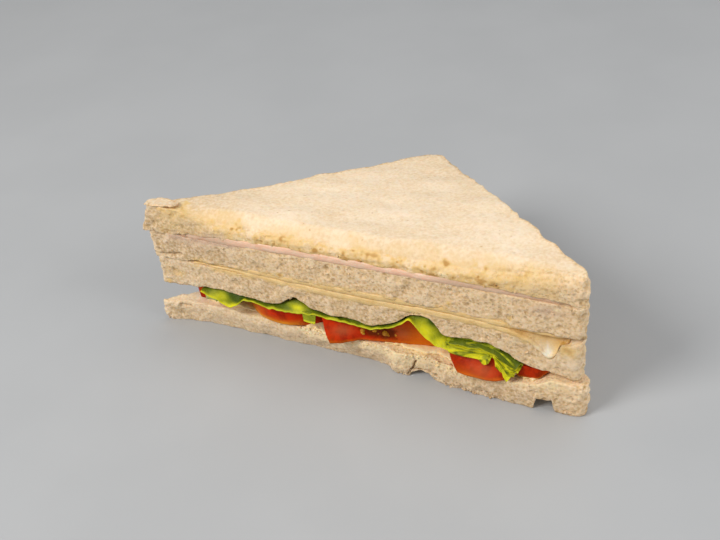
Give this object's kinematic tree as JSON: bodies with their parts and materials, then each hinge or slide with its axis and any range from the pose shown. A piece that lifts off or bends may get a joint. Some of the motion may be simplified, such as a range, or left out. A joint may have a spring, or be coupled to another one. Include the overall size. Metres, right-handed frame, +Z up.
{
  "type": "club sandwich half",
  "caption": "Triangular half of a crustless layered sandwich: soft bread slices with ham, cheese sheets, lettuce leaves, tomato pieces and spread showing along the long cut face.",
  "frame": {"origin": "middle of the box round the sandwich, at the floor that the lowest slice rests on", "axes": "+X along the long cut face, from the left tip to the right tip, where the cheese corner is folded over; the cut face looks along -Y and the right-angled back corner points to +Y; +Z up"},
  "size_m": [0.151, 0.0783, 0.0514],
  "materials": {
    "bread": "soft open crumb of crustless toast bread, matte",
    "spread": "creamy spread, satin",
    "tomato": "wet cut tomato",
    "lettuce": "waxy green leaf, slightly translucent",
    "cheese": "smooth pale yellow sliced cheese, satin",
    "ham": "moist pale pink cooked ham, satin"
  },
  "bodies": {
    "root": {"bread_bottom": "bread", "bread_lower": "bread", "bread_upper": "bread", "bread_top": "bread", "spread": "spread", "tomato_1": "tomato", "tomato_2": "tomato", "tomato_3": "tomato", "tomato_4": "tomato", "tomato_5": "tomato", "lettuce_leaf": "lettuce", "lettuce_frill": "lettuce", "cheese_lower": "cheese", "cheese_upper": "cheese", "ham": "ham"}
  },
  "joints": []
}
